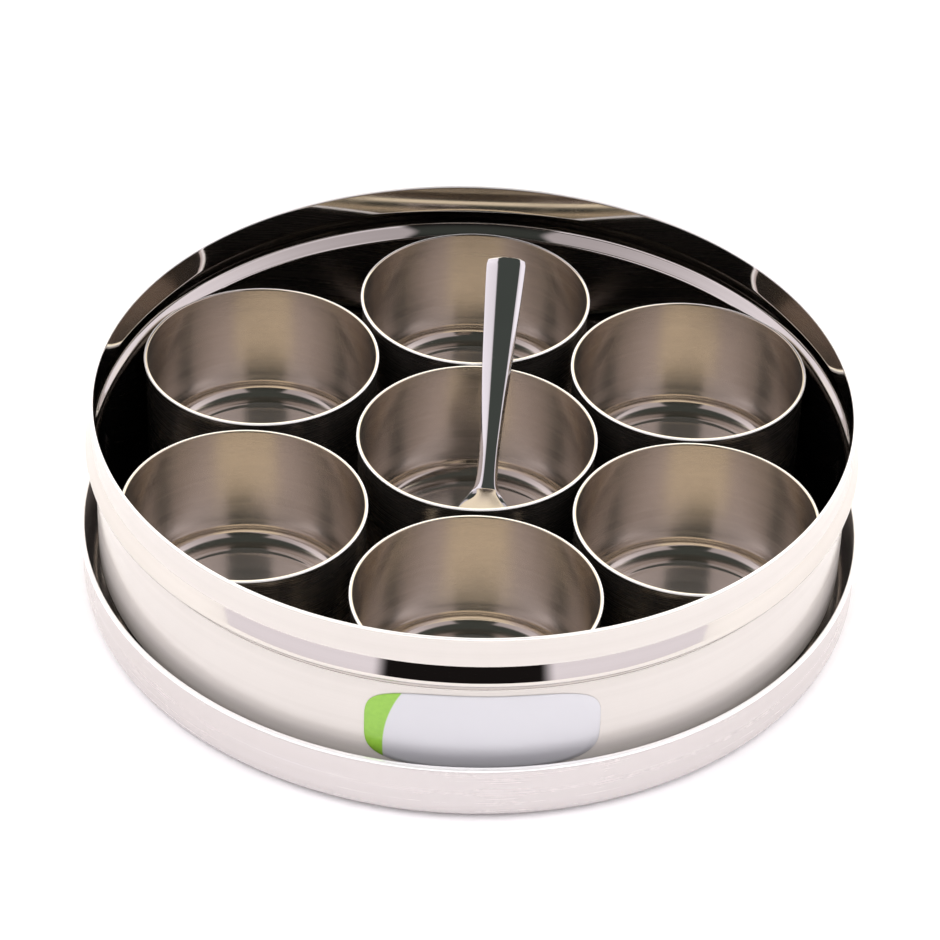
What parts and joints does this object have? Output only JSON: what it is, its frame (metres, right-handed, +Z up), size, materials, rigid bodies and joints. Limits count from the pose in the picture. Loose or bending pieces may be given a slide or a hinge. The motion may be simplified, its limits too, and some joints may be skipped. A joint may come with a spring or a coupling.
{
  "type": "spice box",
  "caption": "Round stainless steel spice box with loose straight-sided cups and a small spoon, standing open in its own upturned lid.",
  "frame": {"origin": "on the lid's axis, at the level that the upturned lid rests on, in the middle of the footprint", "axes": "+Z up, out of the open box; -Y towards the side with the label; the spoon's handle points to +Y"},
  "size_m": [0.2054, 0.2054, 0.0621],
  "materials": {
    "box_steel": "satin outside wall with a polished bead",
    "lid_steel": "satin, turned lines round the wall",
    "cup_steel": "satin wall with a polished floor",
    "spoon_steel": "polished stainless steel",
    "label_film": "silver grey sticker, plain"
  },
  "bodies": {
    "lid": {"lid": "lid_steel"},
    "box": {"box_body": "box_steel", "label": "label_film"},
    "cup_center": {"cup_center": "cup_steel"},
    "cup_front": {"cup_front": "cup_steel"},
    "cup_front_right": {"cup_front_right": "cup_steel"},
    "cup_rear_right": {"cup_rear_right": "cup_steel"},
    "cup_rear": {"cup_rear": "cup_steel"},
    "cup_rear_left": {"cup_rear_left": "cup_steel"},
    "cup_front_left": {"cup_front_left": "cup_steel"},
    "spoon": {"spoon": "spoon_steel"}
  },
  "joints": [
    {"name": "box_lift", "type": "slide", "parent": "lid", "child": "box", "axis": [0, 0, 1], "range_m": [0, 0.04]},
    {"name": "cup_center_lift", "type": "slide", "parent": "cup_rear", "child": "cup_center", "axis": [0, 0, 1], "range_m": [0, 0.06]},
    {"name": "cup_front_lift", "type": "slide", "parent": "box", "child": "cup_front", "axis": [0, 0, 1], "range_m": [0, 0.06]},
    {"name": "cup_front_right_lift", "type": "slide", "parent": "box", "child": "cup_front_right", "axis": [0, 0, 1], "range_m": [0, 0.06]},
    {"name": "cup_rear_right_lift", "type": "slide", "parent": "box", "child": "cup_rear_right", "axis": [0, 0, 1], "range_m": [0, 0.06]},
    {"name": "cup_rear_lift", "type": "slide", "parent": "box", "child": "cup_rear", "axis": [0, 0, 1], "range_m": [0, 0.06]},
    {"name": "cup_rear_left_lift", "type": "slide", "parent": "box", "child": "cup_rear_left", "axis": [0, 0, 1], "range_m": [0, 0.06]},
    {"name": "cup_front_left_lift", "type": "slide", "parent": "box", "child": "cup_front_left", "axis": [0, 0, 1], "range_m": [0, 0.06]},
    {"name": "spoon_lift", "type": "slide", "parent": "cup_center", "child": "spoon", "axis": [0, 0, 1], "range_m": [0, 0.06]}
  ]
}
